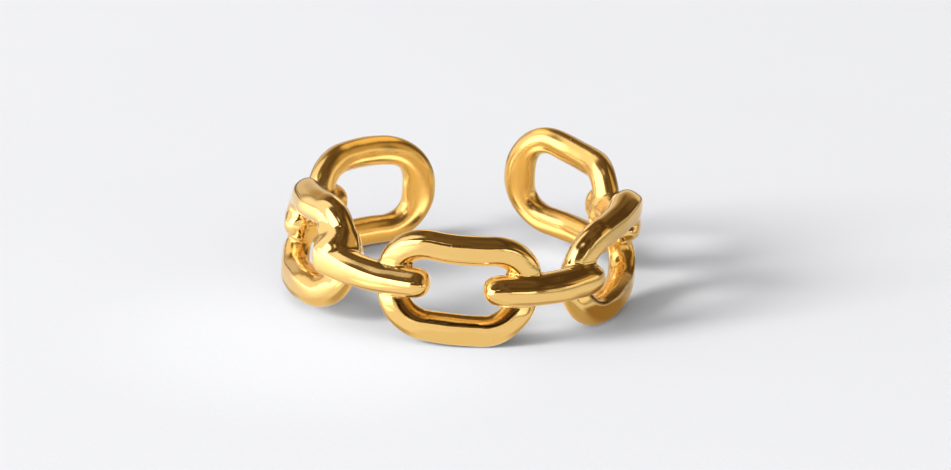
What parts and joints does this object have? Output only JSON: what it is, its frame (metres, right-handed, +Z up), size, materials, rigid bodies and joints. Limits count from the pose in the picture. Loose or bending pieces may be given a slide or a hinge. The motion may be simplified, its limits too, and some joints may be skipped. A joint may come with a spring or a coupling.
{
  "type": "open chain link finger ring",
  "caption": "Open finger ring cast as a length of chain: broad oval links joined by narrow bars with knobbed ends, with a gap at the back for easing it wider.",
  "frame": {"origin": "on the surface that the ring lies on, under the centre of the finger hole", "axes": "+Z up along the finger hole, -Y towards the front link opposite the gap, +X to the front link's right"},
  "size_m": [0.0206, 0.0206, 0.0074],
  "materials": {
    "polished_gold": "polished yellow gold plate"
  },
  "bodies": {
    "root": {"chain_band": "polished_gold"}
  },
  "joints": []
}
